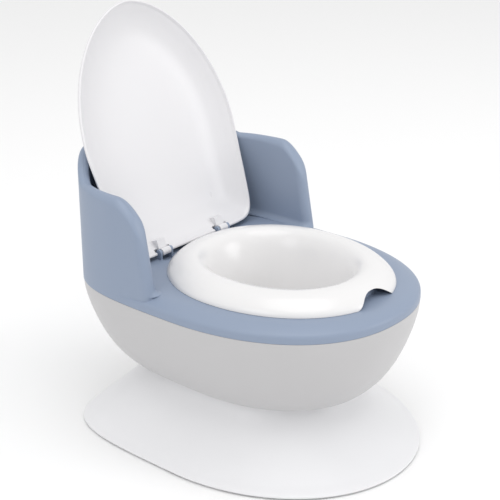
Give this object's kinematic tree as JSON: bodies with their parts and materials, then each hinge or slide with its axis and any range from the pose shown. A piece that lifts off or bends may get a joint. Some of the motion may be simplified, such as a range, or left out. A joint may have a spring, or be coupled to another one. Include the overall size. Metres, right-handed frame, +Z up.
{
  "type": "potty training chair",
  "caption": "Toddler potty shaped like a small toilet: flared foot, egg bowl, seat with wrap-around backrest, lift-out potty with finger notch, and hinged lid.",
  "frame": {"origin": "on the floor, under the middle of the box that the chair fills with its lid open", "axes": "+Z up, -Y is the front where the child's legs go, X = 0 is the plane of symmetry"},
  "size_m": [0.308, 0.3914, 0.4546],
  "materials": {
    "white_shell": "moulded polypropylene, satin gloss",
    "blue_seat": "moulded polypropylene, fine satin",
    "white_potty": "moulded polypropylene, smooth gloss",
    "white_lid": "moulded polypropylene, smooth gloss",
    "steel": "zinc plated",
    "rubber": "matt moulded rubber"
  },
  "bodies": {
    "base": {"pedestal_foot": "white_shell", "bowl_shell": "white_shell", "seat_housing": "blue_seat", "hinge_pin_left": "steel", "hinge_pin_right": "steel", "foot_screw_1": "steel", "foot_screw_2": "steel", "foot_screw_3": "steel", "foot_screw_4": "steel", "seat_screw_1": "steel", "seat_screw_2": "steel", "seat_screw_3": "steel", "seat_screw_4": "steel", "seat_screw_5": "steel", "seat_screw_6": "steel", "seat_screw_7": "steel", "foot_pad_front_left": "rubber", "foot_pad_front_right": "rubber", "foot_pad_rear_left": "rubber", "foot_pad_rear_right": "rubber"},
    "lid": {"lid": "white_lid"},
    "potty": {"potty_bowl": "white_potty"}
  },
  "joints": [
    {"name": "lid_hinge", "type": "hinge", "parent": "base", "child": "lid", "pos_m": [0, 0.09304, 0.1951], "axis": [1, 0, 0], "range_deg": [0, 110.2]},
    {"name": "potty_lift", "type": "slide", "parent": "base", "child": "potty", "axis": [0, 0, 1], "range_m": [0, 0.14]}
  ]
}
